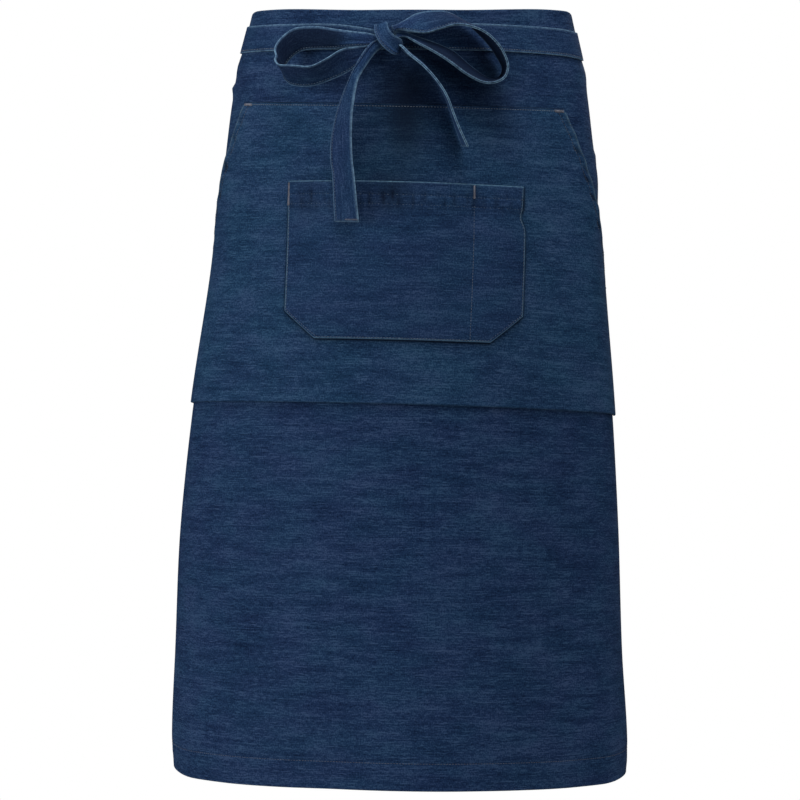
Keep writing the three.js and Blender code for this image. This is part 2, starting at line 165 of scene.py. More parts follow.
def smooth(keys, values, at):
    """Cubic through a table's rows; the slope at a row is the rise over the run between its neighbours."""
    at = np.clip(at, keys[0], keys[-1])
    order = np.arange(len(keys))
    before = np.maximum(order - 1, 0)
    after = np.minimum(order + 1, len(keys) - 1)
    slope = (values[after] - values[before]) / (keys[after] - keys[before])
    i = np.clip(np.searchsorted(keys, at), 1, len(keys) - 1)
    run = keys[i] - keys[i - 1]
    t = (at - keys[i - 1]) / run
    rise = values[i] - values[i - 1]
    first = slope[i - 1] * run
    last = slope[i] * run
    return values[i - 1] + t * (first + t * (3 * rise - 2 * first - last + t * (first + last - 2 * rise)))


def level_at(below):
    """The measures of a level, its four arcs a side, and half its way round.

    The front and side arcs are solved from the half breadth and the depth that they span together; the
    turn to the back has its own radius, and the back arc closes the ring."""
    level = {column: smooth(LEVELS["below"], LEVELS[column], below) for column in LEVEL_COLUMNS}
    sine, cosine = np.sin(FRONT_SWEEP), np.cos(FRONT_SWEEP)
    depth = level["side"] - level["front"]
    scale = sine * cosine - (1 - sine) * (1 - cosine)
    front = (level["half_breadth"] * cosine - depth * (1 - sine)) / scale
    side = (sine * depth - (1 - cosine) * level["half_breadth"]) / scale
    back = (level["half_breadth"] - level["rear_turn"] * (1 - sine)) / sine
    rest = np.pi / 2 - FRONT_SWEEP
    level["arcs"] = [(front, FRONT_SWEEP), (side, rest), (level["rear_turn"], rest), (back, FRONT_SWEEP)]
    level["half_ring"] = sum(radius * sweep for radius, sweep in level["arcs"])
    return level


def fold_out(along, below):
    """Bulges, then folds, which are bells along the panel that grow with the square of the way down, then
    ripples, which are sines."""
    out = bells(BULGES, along, below)
    for middle, width, height, start in FOLDS:
        out = out + height * bell(along, middle, width) * part(below, start, LENGTH - start) ** 2
    for wave_along, wave_below, start, height in RIPPLES:
        out = out + height * np.sin(2 * np.pi * (along / wave_along + below / wave_below) + start)
    return out


def place(along, below, out):
    """The point so far along the panel from centre front, so far below its top edge and so far out of it.

    The arcs of the level are walked for that distance, and 'out' is added square to the last of them. The
    level then climbs with the way back and falls with the way to the right."""
    along, below, out = np.broadcast_arrays(*(np.asarray(v, float) for v in (along, below, out)))
    level = level_at(below)
    x = np.zeros(along.shape)
    y = level["front"].copy()
    heading = np.zeros(along.shape)
    left = np.abs(along)
    for radius, sweep in level["arcs"]:
        turn = np.minimum(left / radius, sweep)
        x = x + radius * (np.sin(heading + turn) - np.sin(heading))
        y = y + radius * (np.cos(heading) - np.cos(heading + turn))
        heading = heading + turn
        left = left - radius * turn
    stand = out + fold_out(along, below)
    across = level["middle"] + np.where(along < 0, -1, 1) * (x + stand * np.sin(heading))
    back = y - stand * np.cos(heading)
    up = TIE_DROP - below + level["back_rise"] * (back - level["front"]) - level["side_fall"] * across
    return np.stack([across, back, up], axis=-1) * MM


# Where a grid is closer: over a rounded rim, and beside a row of stitches.
RIM = np.array([0, 0.06, 0.24, 0.55, 0.9, 1.2, 1.9])
BESIDE_SEAM = np.array([-2.4, -1.2, -0.5, 0, 0.5, 1.2, 2.4])


def stations(length, pitch, marks=()):
    """Places from 0 to a length: one every pitch, closer ones beside each mark and over the rims."""
    plain = np.linspace(0, length, int(length / pitch) + 1)
    close = np.concatenate([RIM, length - RIM, *(mark + BESIDE_SEAM for mark in marks)])
    near = np.abs(plain[:, None] - close[None, :]).min(axis=1) < 0.4 * pitch
    return np.unique(np.clip(np.concatenate([plain[~near], close]), 0, length).round(3))


def rounding(edge, radius):
    """How far a face draws in, so near an edge, for the fold there to be half round."""
    t = np.clip(edge / radius, 0, 1)
    return radius * (1 - np.sqrt(t * (2 - t)))


def quads(grid):
    """The four corners of each cell of a grid of point numbers."""
    return np.stack([grid[:-1, :-1], grid[1:, :-1], grid[1:, 1:], grid[:-1, 1:]], axis=-1).reshape(-1, 4)


def make_mesh(name, points, faces, flat=None, marks=()):
    """A smooth mesh. flat is each point's place in the cut cloth, as the weave's coordinates, and marks are
    pairs of a point attribute's name and its values."""
    mesh = bpy.data.meshes.new(name)
    mesh.from_pydata(points.tolist(), [], faces)
    if flat is not None:
        mesh.uv_layers.new(name="weave").data.foreach_set("uv", flat[np.concatenate(faces)].ravel())
    for mark, values in marks:
        mesh.attributes.new(mark, "FLOAT", "POINT").data.foreach_set("value", values.ravel())
    mesh.shade_smooth()
    return mesh


def cloth_mesh(name, outer, inner, flat, wear, double, painted_shade):
    """A closed wall of cloth from two grids of points that meet along their rim.

    Both faces are worn alike; the inner shows the reverse where the wall is one layer, and only the outer
    has painted shade."""
    rows, columns = outer.shape[:2]
    face = np.arange(rows * columns).reshape(rows, columns)
    reverse = face + rows * columns
    rim = np.zeros((rows, columns), bool)
    rim[[0, -1]] = True
    rim[:, [0, -1]] = True
    reverse[rim] = face[rim]
    used, faces = np.unique(np.concatenate([quads(face), quads(reverse)[:, ::-1]]), return_inverse=True)

    def both(front, back, size):
        return np.concatenate([front.reshape(-1, size), back.reshape(-1, size)])[used]

    pairs = (("wear", wear, wear), ("reverse", 0 * wear, 1 - double), ("painted_shade", painted_shade, 0 * painted_shade))
    marks = [(mark, both(front, back, 1)) for mark, front, back in pairs]
    faces = faces.reshape(-1, 4).tolist()
    return make_mesh(name, both(outer, inner, 3), faces, both(flat, flat, 2) * MM, marks)


def add_node(tree, kind, inputs=None, **settings):
    """A shader node; its inputs, by name or number, are linked to a socket or set to a value."""
    made = tree.nodes.new("ShaderNode" + kind)
    for key, value in settings.items():
        setattr(made, key, value)
    for key, value in (inputs or {}).items():
        if isinstance(value, bpy.types.NodeSocket):
            tree.links.new(value, made.inputs[key])
        else:
            made.inputs[key].default_value = value
    return made


def add_ramp(tree, value, stops):
    """A ramp that turns a value into the colours of its stops."""
    made = add_node(tree, "ValToRGB", {0: value})
    elements = made.color_ramp.elements
    while len(elements) < len(stops):
        elements.new(0.5)
    for element, (position, colour) in zip(elements, stops):
        element.position = position
        element.color = (*colour, 1)
    return made.outputs[0]


def new_material(name):
    """A material and its empty tree of nodes."""
    material = bpy.data.materials.new(name)
    material.use_nodes = True
    material.node_tree.nodes.clear()
    return material, material.node_tree


def add_surface(tree, inputs):
    """The surface that a material ends in."""
    surface = add_node(tree, "BsdfPrincipled", inputs)
    add_node(tree, "OutputMaterial", {"Surface": surface.outputs[0]})


# Noises of the weave: cells a metre across and down, detail, and where they start.
YARNS = {
    "grain": (760, 640, 1, 9.4),
    "weft": (190, 720, 1, 7.7),
    "slub": (62, 820, 1, 3.1),
    "long": (15, 640, 1, 15.8),
    "bands": (26, 130, 2, 21.3),
    "clouds": (16, 24, 2, 1.9),
    "tint": (19, 34, 2, 12.6),
    "rubbed": (330, 330, 3, 4.2),
}
# How much each counts in the tone: the even ones, and those that a cloth has more or less of.
EVEN_SHARES = {"grain": 0.68, "clouds": 0.28}
STREAK_SHARES = {"weft": 0.5, "long": 0.3, "bands": 0.45}
SLUB_RANGE = (0.62, 0.8, 0.35)  # where the thick yarns begin and are palest, and their share
TINTS = [(0.33, (0.9, 1.035, 1.0)), (0.67, (1.07, 0.975, 1.015))]
REVERSE_TONES = [(0.1, (0.6, 0.6, 0.6)), (0.9, (1.3, 1.3, 1.3))]
PAINTED_SHADE_DARK = 0.35  # colour of the painted shade, as a share of the darkest dye
TWILL_SLANT = np.radians(62)


def denim(name, streak, dye_dark, dye_mid, dye_pale, worn, reverse):
    """Indigo denim, seen as yarns of uneven thickness.

    The tone is one half plus the weighted sum of noises that are drawn out along the weft or the warp, plus
    a broad one for the dye; a ramp turns it from deep to pale indigo. A second broad noise tints it towards
    green or violet. The attribute of painted shade mixes it towards a very dark indigo where shade falls,
    'wear' to the worn colour of folded edges, and 'reverse' to the colour of a single layer's inside. The
    twill and the yarns make the bump."""
    material, tree = new_material(name)
    weave = add_node(tree, "UVMap", uv_map="weave").outputs[0]

    def yarns(across, down, detail, start):
        inputs = {"Vector": weave, "Scale": (across, down, 1), "Location": (start, start, 0)}
        moved = add_node(tree, "Mapping", inputs).outputs[0]
        inputs = {"Vector": moved, "Scale": 1.0, "Detail": detail, "Roughness": 0.55}
        return add_node(tree, "TexNoise", inputs, noise_dimensions="2D").outputs[0]

    def math(operation, a, b, c=0.0):
        return add_node(tree, "Math", {0: a, 1: b, 2: c}, operation=operation).outputs[0]

    def mix(kind, amount, a, b):
        return add_node(tree, "Mix", {0: amount, 6: a, 7: b}, data_type="RGBA", blend_type=kind).outputs[2]

    def mark(attribute):
        return add_node(tree, "Attribute", attribute_name=attribute).outputs["Fac"]

    noise = {kind: yarns(*row) for kind, row in YARNS.items()}
    begin, palest, most = SLUB_RANGE
    slubs = {"Value": noise["slub"], "From Min": begin, "From Max": palest, "To Max": most * streak}
    tone = add_node(tree, "MapRange", slubs).outputs[0]
    shares = {**EVEN_SHARES, **{kind: share * streak for kind, share in STREAK_SHARES.items()}}
    for kind, share in shares.items():
        tone = math("MULTIPLY_ADD", noise[kind], share, tone)
    tone = math("SUBTRACT", tone, sum(shares.values()) / 2 - 0.5)
    colour = add_ramp(tree, tone, [(0.2, dye_dark), (0.5, dye_mid), (0.8, dye_pale)])
    colour = mix("MULTIPLY", 1.0, colour, add_ramp(tree, noise["tint"], TINTS))
    # Painted shade: the colour is mixed towards a very dark indigo where shade or shadow falls on the
    # cloth.
    colour = mix("MIX", mark("painted_shade"), colour, (*(PAINTED_SHADE_DARK * c for c in dye_dark), 1))
    patchy = math("MULTIPLY_ADD", noise["rubbed"], 1.9, -0.17)
    colour = mix("MIX", math("MULTIPLY", mark("wear"), patchy), colour, (*worn, 1))
    pale = mix("MULTIPLY", 1.0, add_ramp(tree, tone, REVERSE_TONES), (*reverse, 1))
    colour = mix("MIX", mark("reverse"), colour, pale)

    slanted = add_node(tree, "Mapping", {"Vector": weave, "Rotation": (0, 0, TWILL_SLANT)}).outputs[0]
    twill = add_node(tree, "TexWave", {"Vector": slanted, "Scale": 330.0, "Distortion": 1.2, "Detail": 1.0})
    thick = math("MULTIPLY_ADD", noise["weft"], 0.4, noise["slub"])
    height = math("MULTIPLY_ADD", twill.outputs["Fac"], 0.35, thick)
    bump = add_node(tree, "Bump", {"Strength": 0.35, "Distance": 0.35 * MM, "Height": height}).outputs[0]
    add_surface(tree, {"Base Color": colour, "Roughness": 0.88, "Specular IOR Level": 0.1, "Normal": bump})
    return material


def piece(mesh, material, replaced=None):
    """An object of that mesh at the origin, in its material, fixed to the apron."""
    mesh.materials.append(material)
    made = put(mesh.name, mesh)
    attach(made, "root")
    if replaced:
        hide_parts(replaced)
    return made


def seam_sink(distance):
    """A row of stitches draws the cloth in by a bell curve of the distance to it."""
    return SEAM_SINK * bell(distance, 0, SEAM_REACH)


def hem_pucker(along, below):
    """Sewn hems rope: short slanted waves that fade at the seam and at the fold."""
    swing = np.sin(along / 3.1 + below / 6) + 0.7 * np.sin(along / 5.3 + 1.4 - below / 9)
    return HEM_ROPE * half_sine(part(below, HEM_SEAM, BOTTOM_HEM)) * swing


def skirt_reach(along, below):
    """The level of a place on the panel as worn: near the top edge and near the hem it is moved by S curves
    of the distance from the middle."""
    away = np.abs(along)
    top = TOP_LIFT * step(away, 40, 100) * (1 - step(away, 175, 40))
    middle, beside, side = HEM_DROP
    hem = middle + beside * step(away, 60, 110) - side * step(away, 215, 75)
    return below - top * np.clip(1 - below / 60, 0, 1) + hem * np.clip(1 - (LENGTH - below) / 80, 0, 1)


def skirt_face(along, below, out):
    """A point so far out of the skirt's outer face, with its hem's puckers."""
    return place(along, skirt_reach(along, below), hem_pucker(along, below) + out)


def skirt_half(below):
    """Half the panel's width, which grows evenly from waist to hem."""
    return (WAIST_WIDTH + (HEM_WIDTH - WAIST_WIDTH) * below / LENGTH) / 2


def skirt_sheet():
    """Grid of stations across and down the panel.

    The outer face is at 0, drawn in over the rims and along the seams. The inner face lies one layer in, or
    two behind the turned edges."""
    below = stations(LENGTH, SKIRT_PITCH, (TOP_SEAM, TOP_HEM, HEM_SEAM))[:, None]
    across = stations(WAIST_WIDTH, SKIRT_PITCH, (REAR_SEAM, WAIST_WIDTH - REAR_SEAM))[None, :]
    along = (2 * across / WAIST_WIDTH - 1) * skirt_half(below)
    below = np.broadcast_to(below, along.shape)
    rear = np.minimum(across, WAIST_WIDTH - across)
    edge = np.minimum(rear, np.minimum(below, LENGTH - below))
    double = np.maximum(1 - step(rear, REAR_HEM, HEM_STEP), 1 - step(below, TOP_HEM, HEM_STEP))
    double = np.maximum(double, step(below, HEM_SEAM - 2, HEM_STEP))
    sink = seam_sink(below - HEM_SEAM) + seam_sink(rear - REAR_SEAM) + seam_sink(below - TOP_SEAM)
    draw = rounding(edge, CLOTH) + 0.6 * sink
    outer = skirt_face(along, below, -draw)
    inner = skirt_face(along, below, draw - CLOTH * (1 + double))
    wear = EDGE_WEAR * np.clip(1 - edge / 1.1, 0, 1) ** 2
    flat = np.stack([along, -below], axis=-1)
    # Painted shade: the bow's shadows are painted on the skirt's outer face.
    return cloth_mesh("skirt", outer, inner, flat, wear, double, bells(PAINTED_BOW_SHADOWS, along, below))


SKIRT_DYE = {
    "dye_dark": (0.0029, 0.0126, 0.0445),
    "dye_mid": (0.0112, 0.0334, 0.0925),
    "dye_pale": (0.0353, 0.073, 0.156),
    "worn": (0.1, 0.195, 0.275),
    "reverse": (0.12, 0.17, 0.24),
}
skirt_denim = denim("skirt_denim", streak=1.0, **SKIRT_DYE)
skirt = piece(skirt_sheet(), skirt_denim, "skirt_panel")

# Stitch rows of the skirt
# Grey cotton thread, sewn through the turned edges. Each stitch is a short bead of thread whose two ends
# dive into the cloth, and it is seen on both faces.
STITCH_PITCH = 2.7
STITCH_LENGTH = 1.8
SEWN_IN = 0.16  # how deep the thread lies in the dent of its row
THREAD = 0.18  # half the thread's thickness
BEAD_RINGS = np.array([(-1, 0.35, -0.9), (-0.55, 0.95, 0.25), (0.55, 0.95, 0.25), (1, 0.35, -0.9)])
BEAD_SIDES = 5
HEM_THREAD = (0.125, 0.132, 0.16)
SEAM_END = 3  # how far a row stops short of the panel's edges


def unit(vectors):
    """Each vector at length 1."""
    return vectors / np.linalg.norm(vectors, axis=-1, keepdims=True)


def way_along(points):
    """How far each point of a line lies from its start."""
    return np.concatenate([[0], np.cumsum(np.linalg.norm(np.diff(points, axis=0), axis=1))])


def tube(rings, sides):
    """Faces of a tube of rings: its wall, and the cap of each end."""
    here = np.arange(rings * sides).reshape(rings, sides)
    return quads(np.concatenate([here, here[:, :1]], axis=1)), (here[0], here[-1][::-1])


def sewn(name, rows, material, half_thick=THREAD):
    """Rows of stitches as one piece: a bead from the start to the end of each stitch.

    A bead is a few rings: each has a place along the stitch, a radius and a height out of the cloth, and
    its points stand round it on a circle between the cloth's normal and the way square to the stitch."""
    starts, ends, normals = (np.concatenate(parts) for parts in zip(*rows))
    turn = (2 * np.pi * np.arange(BEAD_SIDES) / BEAD_SIDES)[None, None, :, None]
    middle = (starts + ends)[:, None, None] / 2
    half = (ends - starts)[:, None, None] / 2
    side = unit(np.cross(ends - starts, normals))[:, None, None]
    normal = normals[:, None, None]
    ahead, wide, high = np.moveaxis(BEAD_RINGS[None, :, None, :, None], 3, 0)
    spoke = normal * np.sin(turn) + side * np.cos(turn)
    points = middle + half * ahead + half_thick * MM * (high * normal + wide * spoke)
    wall, caps = tube(len(BEAD_RINGS), BEAD_SIDES)
    shift = len(BEAD_RINGS) * BEAD_SIDES * np.arange(len(starts))[:, None]
    faces = (wall[None] + shift[:, None]).reshape(-1, 4).tolist()
    for cap in caps:
        faces += (cap + shift).tolist()
    piece(make_mesh(name, points.reshape(-1, 3), faces), material)


def sew(point, along, below, way=1):
    """Stitches along a line on a face: the line is measured, and a stitch is laid every pitch.

    point gives the place so far out of the face; the normal is the way that it moves outwards."""
    along, below = np.broadcast_arrays(np.asarray(along, float), below)
    run = way_along(np.stack([along, below], axis=-1))
    centre = np.arange(STITCH_PITCH / 2, run[-1], STITCH_PITCH)

    def on_line(at, out):
        return point(np.interp(at, run, along), np.interp(at, run, below), out)

    half = STITCH_LENGTH / 2
    normal = unit(on_line(centre, way) - on_line(centre, 0))
    return on_line(centre - half, 0), on_line(centre + half, 0), normal


def thread(name, colour):
    """Spun thread: a noise makes it a little lighter and darker along its length, with a soft shine."""
    material, tree = new_material(name)
    where = add_node(tree, "TexCoord").outputs["Object"]
    noise = add_node(tree, "TexNoise", {"Vector": where, "Scale": 260.0, "Detail": 2.0}).outputs[0]
    shades = [(position, [light * c for c in colour]) for position, light in ((0.3, 0.55), (0.7, 1.25))]
    add_surface(tree, {"Base Color": add_ramp(tree, noise, shades), "Roughness": 0.6})
    return material


def skirt_seam(along, below, out):
    """A point so far out of the outer face's seams."""
    return skirt_face(along, below, out - SEWN_IN)


def skirt_inside(along, below, out):
    """A point so far out of the seams on the inner face, behind a turned edge."""
    return skirt_face(along, below, out - 2 * CLOTH + SEWN_IN)


across = np.linspace(-1, 1, 200)
down = np.linspace(SEAM_END, LENGTH - SEAM_END, 60)
lines = [(across * (skirt_half(seam) - SEAM_END), seam) for seam in (HEM_SEAM, TOP_SEAM)]
lines += [(side * (skirt_half(down) - REAR_SEAM), down) for side in (-1, 1)]
hem_thread = thread("hem_thread", HEM_THREAD)
sewn("skirt_stitches", [sew(face, *line, way) for line in lines
                        for face, way in ((skirt_seam, 1), (skirt_inside, -1))], hem_thread)

# Pouch panel
# A second width of the denim over the upper half. Its top is turned in and sewn to the skirt, its slanted
# sides are hemmed and left open for the hands, and its lower edge is a fold that hangs free.
GAP = 0.6  # air between two layers that lie on each other
POUCH_TOP = 88
POUCH_BOTTOM = 366
POUCH_SHIFT = -9.5
POUCH_TOP_HALF = 166.5
POUCH_SIDE_HALF = 264
POUCH_FOLD_HALF = 284
POUCH_FOLD = 18
POUCH_LIFT = 1.5
POUCH_LEAN = 0.012
POUCH_RISE = 3  # how far the ends of its top seam lie above the middle
POUCH_SAG = 0.7  # and how far the middle is lowered
POUCH_SEAM_RUN = 60
POUCH_SEAM = 2.6  # from the pouch's upper edge to its row of stitches
POUCH_PITCH = 2.6
POUCH_CORE = 130  # half the width over which the grid's columns run straight down
OPENING_RIM = 20  # and the run from an edge over which they follow it
OPENING_END = 246
OPENING_BOW = 4
OPENING_DRAW = 2.5  # how far the free edges are drawn in at mid height
OPENING_HEM = 14
OPENING_SEAMS = (2.2, 10.5)  # from an opening's edge to its rows of stitches
OPENING_GAPE = 1.0  # how far the free edge of an opening lifts
OPENING_PUCKER = 0.5  # height of the short waves in its hem
OPENING_SCALLOP = 1.1  # small scallops of the free edges, and their length down the panel
SCALLOP_LENGTH = 21
OPENING_ROLLS = {-1: (146, 12, 1.2), 1: (176, 16, 0.6)}  # an edge rolls out: level, half height, how far

# Where the patch pocket is sewn on.
POCKET_TOP = 161.5
POCKET_BOTTOM = 307.5
POCKET_LEFT = -115.5
POCKET_RIGHT = 109
POCKET_CUT_WIDTH = 32
POCKET_CUT_HEIGHT = 26
POCKET_HEM = 23
POCKET_SHADOW = 1.7  # width over which the painted shadow line beside its edge fades


def open_part(below):
    """How far down the hand openings a level lies, from 0 to 1."""
    return part(below, POUCH_TOP, OPENING_END - POUCH_TOP)


def pouch_edge(below, side):
    """Place along the panel of one of the pouch's side edges.

    The slanted openings bow out as half a sine, are scalloped by a sine and drawn in by a squared half
    sine; below them the sides run on straight."""
    t = open_part(below)
    middle = half_sine(t)
    slant = POUCH_TOP_HALF + (POUCH_SIDE_HALF - POUCH_TOP_HALF) * t + OPENING_BOW * middle
    straight = (POUCH_FOLD_HALF - POUCH_SIDE_HALF) * part(below, OPENING_END, POUCH_BOTTOM - OPENING_END)
    scallop = OPENING_SCALLOP * np.sin(2 * np.pi * (below - POUCH_TOP) / SCALLOP_LENGTH + side)
    return POUCH_SHIFT + side * (slant + straight + scallop * middle - OPENING_DRAW * middle**2)


def pouch_out(along, below):
    """How far the pouch's outer face lies from the skirt: flat at its seams, half a sine between."""
    side = np.clip((POUCH_SIDE_HALF - np.abs(along - POUCH_SHIFT)) / POUCH_SEAM_RUN, 0, 1)
    return GAP + 2 * CLOTH + POUCH_LIFT * half_sine(part(below, POUCH_TOP, POUCH_BOTTOM - POUCH_TOP)) * side


def opening_pucker(below, inset, side):
    """Short slanted waves in the hem of an opening: two sines down it, times half a sine across the hem."""
    hem = half_sine(part(inset, 0, OPENING_HEM)) * half_sine(open_part(below))
    return hem * (np.sin(below / 2.1 + side * inset / 4) + 0.7 * np.sin(below / 3.4 - inset / 5 + 1))


def pouch_face(along, below):
    """The pouch's outer face; the openings' free edges lift and roll out, which falls off inwards."""
    face = pouch_out(along, below)
    for side, (level, tall, out) in OPENING_ROLLS.items():
        lift = OPENING_GAPE * half_sine(open_part(below)) + out * bell(below, level, tall)
        inset = np.clip(side * (pouch_edge(below, side) - along), 0, None)
        face = face + lift * np.exp(-inset / 12) + OPENING_PUCKER * opening_pucker(below, inset, side)
    return face


def pocket_right(below):
    """The patch pocket's right edge: it is drawn in along the hem's end, and most just below it."""
    down = below - POCKET_TOP - POCKET_HEM
    return POCKET_RIGHT - 3.4 * (1 - step(down, 4, 14)) - 1.6 * bell(down, 7, 7)


def pocket_shadow(along, below):
    """The painted shadow line that the patch pocket's edge leaves on the pouch, by how far a place lies
    beyond it.

    That is the greatest of its distances past the sides, the bottom and the cut corners, counted from where
    the edge is seen: the sides stand off, and the hem's right end the most."""
    hem_end = step(along, 0, 1) * (1 - step(below, POCKET_TOP + POCKET_HEM - 2, 6))
    side = np.maximum(POCKET_LEFT - along, along - pocket_right(below))
    low = below - POCKET_BOTTOM
    slant = np.hypot(POCKET_CUT_WIDTH, POCKET_CUT_HEIGHT)
    corner = (side * POCKET_CUT_HEIGHT + (low + POCKET_CUT_HEIGHT) * POCKET_CUT_WIDTH) / slant
    beyond = np.maximum(np.maximum(side - 1 - 1.4 * hem_end, low), corner - 0.5)
    seen = 1 - step(beyond, 0.2, POCKET_SHADOW + 1.2 * hem_end)
    return 0.85 * seen * step(beyond, -8, 4) * step(below, POCKET_TOP - 1, 3)


def on_pouch(along, below, out):
    """A point so far out of the skirt where the pouch is sewn on. Its lines run down a little to the right,
    and its top seam curves up to both ends, as the square of the distance from the middle."""
    away = np.clip((along - POUCH_SHIFT) / POUCH_TOP_HALF, -1.4, 1.4)
    rise = (POUCH_RISE * away**2 - POUCH_SAG) * np.clip(1 - (below - POUCH_TOP) / 90, 0, 1)
    return place(along, below + POUCH_LEAN * along - rise, out)


def pouch_sheet():
    """Stations across and down. The columns run straight down in the middle, follow the edges in the hems
    of the openings, and spread evenly between."""
    half = POUCH_SIDE_HALF
    seams = (POUCH_SEAM, POCKET_TOP - POUCH_TOP, POCKET_BOTTOM - POUCH_TOP)
    below = stations(POUCH_BOTTOM - POUCH_TOP, POUCH_PITCH, seams)[:, None] + POUCH_TOP
    seams = [side * (half - inset) + half for side in (-1, 1) for inset in OPENING_SEAMS]
    seams += [POCKET_LEFT - POUCH_SHIFT + half, POCKET_RIGHT - POUCH_SHIFT + half]
    across = stations(2 * half, POUCH_PITCH, seams)[None, :] - half
    side = np.where(across < 0, -1, 1)
    away = np.abs(across)
    inset = half - away
    reach = side * (pouch_edge(below, side) - POUCH_SHIFT)
    spread = (away - POUCH_CORE) / (half - OPENING_RIM - POUCH_CORE) * (reach - OPENING_RIM - POUCH_CORE)
    outer_part = np.where(inset < OPENING_RIM, reach - inset, POUCH_CORE + spread)
    along = POUCH_SHIFT + side * np.where(away < POUCH_CORE, away, outer_part)
    below = np.broadcast_to(below, along.shape)
    edge = np.minimum(inset, np.minimum(below - POUCH_TOP, POUCH_BOTTOM - below))
    double = np.maximum(1 - step(inset, OPENING_HEM, HEM_STEP), 1 - step(below, POUCH_TOP + 6, HEM_STEP))
    double = np.maximum(double, step(below, POUCH_BOTTOM - POUCH_FOLD, HEM_STEP))
    open_here = 1 - step(below, OPENING_END, 4)
    by_edge, inner_row = (seam_sink(inset - seam) for seam in OPENING_SEAMS)
    sink = seam_sink(below - POUCH_TOP - POUCH_SEAM) + open_here * (inner_row + 0.6 * by_edge)
    draw = rounding(edge, CLOTH)
    face = pouch_face(along, below)
    outer = on_pouch(along, below, face - draw - 0.7 * sink)
    inner = on_pouch(along, below, face - CLOTH * (1 + double) + draw)
    upper = 1 - step(below, POUCH_TOP + 1.5, 2)
    lower = step(below, POUCH_BOTTOM - 4, 2)
    wear = np.clip(1 - edge / 1.3, 0, 1) ** 1.5 * (0.8 - 0.8 * upper - 0.7 * lower)
    worn_hem = 0.42 * bell(inset, 1.2, 2.2) * open_here * (1 + 0.35 * np.sin(below / 2.1))
    wear = np.maximum(wear, worn_hem * (1 - upper))
    # Painted shade on the outer face: in the valleys of the openings' puckers, a dark line along the top
    # edge where it meets the skirt, the pocket's shadow line and the bow's shadows.
    valley_shade = 0.75 * np.clip(-opening_pucker(below, inset, side), 0, 1)
    painted_shade = np.maximum(upper * np.clip(1 - edge / 1.6, 0, 1) + valley_shade, pocket_shadow(along, below))
    painted_shade = np.maximum(painted_shade, bells(PAINTED_BOW_SHADOWS, along, below))
    flat = np.stack([along + 900, -below - 300], axis=-1)
    return cloth_mesh("pouch", outer, inner, flat, wear, double, painted_shade)


POUCH_DYE = dict(SKIRT_DYE, dye_dark=(0.0032, 0.016, 0.05), dye_mid=(0.0125, 0.042, 0.104),
                 dye_pale=(0.04, 0.089, 0.175))
pouch_denim = denim("pouch_denim", streak=0.9, **POUCH_DYE)
pouch = piece(pouch_sheet(), pouch_denim, "pouch_panel")

# Stitch rows of the pouch
# A row of pale thread along its top, two finer rows along each opening, and bar tacks, which are close
# stitches laid across a line, at the ends of the top row and at the foot of each opening.
PALE_THREAD = (0.165, 0.205, 0.265)
PALE_HALF = 0.26  # half the thickness of the pale thread
TACK_THREAD = (0.165, 0.17, 0.215)
TACK_HALF = 0.24
TACK_REACH = 1.15  # half the width of a bar tack
TACK_PITCH = 0.42  # from one stitch of a bar tack to the next
TACK_LIFT = 0.15  # how far they lie above the cloth
TACK_RUN = 11  # how far in from the edge they go


def pouch_seam(along, below, out):
    """A point so far out of the pouch's face where stitches draw it in."""
    return on_pouch(along, below, pouch_face(along, below) - SEWN_IN + out)


def tack(point, along, below):
    """A bar tack: close stitches laid across a short line, each leaning a little."""
    line = np.array([along[1] - along[0], below[1] - below[0]])
    span = np.hypot(*line)
    ahead = line / span
    across = TACK_REACH * np.array([-ahead[1], ahead[0]]) + TACK_PITCH * ahead
    at = np.arange(0, span, TACK_PITCH)
    s, b = along[0] + at * ahead[0], below[0] + at * ahead[1]
    first, last = (point(s + end * across[0], b + end * across[1], TACK_LIFT) for end in (-1, 1))
    return first, last, unit(point(s, b, 1) - point(s, b, 0))


level = POUCH_TOP + POUCH_SEAM
across = np.linspace(-1, 1, 100) * (POUCH_TOP_HALF - 2) + POUCH_SHIFT
down = np.linspace(POUCH_TOP + 4, OPENING_END, 80)
tacks = []
for side in (-1, 1):
    end = POUCH_SHIFT + side * (POUCH_TOP_HALF - 1.5)
    foot = pouch_edge(OPENING_END, side)
    tacks.append(tack(pouch_seam, (end, end - side * TACK_RUN), (level, level)))
    tacks.append(tack(pouch_seam, (foot - side * 2, foot - side * TACK_RUN), (OPENING_END, OPENING_END)))
pale_thread = thread("pale_thread", PALE_THREAD)
tack_thread = thread("tack_thread", TACK_THREAD)
sewn("pouch_stitches", [sew(pouch_seam, across, level)], pale_thread, PALE_HALF)
sewn("opening_stitches", [sew(pouch_seam, pouch_edge(down, side) - side * inset, down)
                          for side in (-1, 1) for inset in OPENING_SEAMS], hem_thread)
sewn("pouch_tacks", tacks, tack_thread, TACK_HALF)

# Patch pocket
# A patch of the denim with cut lower corners, sewn to the pouch round its edge. Its mouth is a deep turned
# hem with two rows of stitches, and one more row parts a pen slot off at the right.
POCKET_DIVIDER = 58
POCKET_EDGE = 9
POCKET_BELLY = 5.5  # how far the mouth stands open
PEN_BELLY = 2.4  # and that of the pen slot
POCKET_HEM_ROWS = (12.5, 21.5)
POCKET_PUCKER = 0.65  # height of the waves in its hem
POCKET_RIDGE = 0.35  # how far the double cloth of the hem stands out
POCKET_SEAM = 1.9  # from the pocket's edge to its row of stitches
POCKET_PITCH = 2.6
POCKET_WIDE = POCKET_RIGHT - POCKET_LEFT
POCKET_TALL = POCKET_BOTTOM - POCKET_TOP


def hem_swing(along, down):
    """The waves that the rows draw in the hem: sines along it, strongest between the rows."""
    fine = np.sin(along / 1.25 + down / 9) * np.sin(along / 7.9 + 0.6)
    return bell(down / POCKET_HEM, 0.74, 0.34) * (fine + 0.6 * np.sin(along / 2.05 - down / 7))


